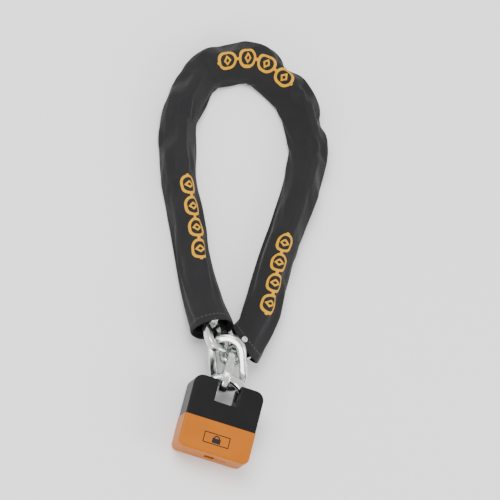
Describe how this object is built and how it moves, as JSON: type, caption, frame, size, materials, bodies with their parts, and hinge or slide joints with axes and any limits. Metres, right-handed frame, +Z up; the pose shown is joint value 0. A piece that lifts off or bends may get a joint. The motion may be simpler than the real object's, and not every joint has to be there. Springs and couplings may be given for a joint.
{
  "type": "chain lock",
  "caption": "Closed-shackle padlock with a black and orange jacket on a looped square-link chain in a woven sleeve with a yellow woven motif.",
  "frame": {"origin": "on the floor under the middle of the bounding box", "axes": "+Z up, +Y from the padlock towards the far end of the chain loop, +X across the padlock"},
  "size_m": [0.2126, 0.5336, 0.054],
  "materials": {
    "body_steel": "satin",
    "black_jacket": "satin",
    "orange_jacket": "satin",
    "fastener_steel": "bright",
    "seal_rubber": "matte",
    "brass": "satin",
    "shackle_steel": "polished",
    "dust_plastic": "matte",
    "chain_steel": "bright zinc",
    "sleeve_fabric": "woven"
  },
  "bodies": {
    "lock_case": {"body_core": "body_steel", "upper_cover": "black_jacket", "lower_cover": "orange_jacket", "cover_screws": "fastener_steel", "shackle_retaining_pin": "fastener_steel", "shackle_spring": "fastener_steel", "heel_shackle_seal": "seal_rubber", "toe_shackle_seal": "seal_rubber", "drill_plate": "body_steel", "cylinder_housing": "brass"},
    "key_plug": {"key_plug": "brass", "locking_cam": "body_steel", "disc_stack": "brass", "sidebar": "body_steel"},
    "left_ball": {"left_locking_ball": "shackle_steel"},
    "right_ball": {"right_locking_ball": "shackle_steel"},
    "dust_cover": {"keyhole_dust_cover": "dust_plastic"},
    "shackle": {"shackle": "shackle_steel"},
    "shackle_link": {"shackle_link": "chain_steel", "right_end_link": "chain_steel", "sleeved_link_01": "chain_steel", "sleeved_link_02": "chain_steel", "sleeved_link_03": "chain_steel", "sleeved_link_04": "chain_steel", "sleeved_link_05": "chain_steel", "sleeved_link_06": "chain_steel", "sleeved_link_07": "chain_steel", "sleeved_link_08": "chain_steel", "sleeved_link_09": "chain_steel", "sleeved_link_10": "chain_steel", "sleeved_link_11": "chain_steel", "sleeved_link_12": "chain_steel", "sleeved_link_13": "chain_steel", "sleeved_link_14": "chain_steel", "sleeved_link_15": "chain_steel", "sleeved_link_16": "chain_steel", "sleeved_link_17": "chain_steel", "sleeved_link_18": "chain_steel", "sleeved_link_19": "chain_steel", "sleeved_link_20": "chain_steel", "sleeved_link_21": "chain_steel", "sleeved_link_22": "chain_steel", "sleeved_link_23": "chain_steel", "sleeve": "sleeve_fabric", "sleeve_rivet": "fastener_steel", "left_end_link": "chain_steel", "end_ring": "chain_steel"}
  },
  "joints": [
    {"name": "shackle_lift", "type": "slide", "parent": "lock_case", "child": "shackle", "axis": [0, 0.9914, 0.1305], "range_m": [0, 0.022]},
    {"name": "key_turn", "type": "hinge", "parent": "lock_case", "child": "key_plug", "pos_m": [0.04227, -0.24497, 0.02046], "axis": [0, 0.9914, 0.1305], "range_deg": [0, 90]},
    {"name": "left_ball_travel", "type": "slide", "parent": "lock_case", "child": "left_ball", "axis": [-1, 0, 0], "range_m": [0, 0.0029]},
    {"name": "right_ball_travel", "type": "slide", "parent": "lock_case", "child": "right_ball", "axis": [1, 0, 0], "range_m": [0, 0.0029]},
    {"name": "dust_cover_slide", "type": "slide", "parent": "lock_case", "child": "dust_cover", "axis": [1, 0, 0], "range_m": [0, 0.015]},
    {"name": "chain_swing_on_bow", "type": "hinge", "parent": "shackle", "child": "shackle_link", "pos_m": [0.04227, -0.16764, 0.03064], "axis": [1, 0, 0], "range_deg": [0, 35]}
  ],
  "couplings": [
    {"joint": "left_ball_travel", "follows": "key_turn", "m_per_rad": 0.0017825},
    {"joint": "right_ball_travel", "follows": "key_turn", "m_per_rad": 0.0017825}
  ]
}
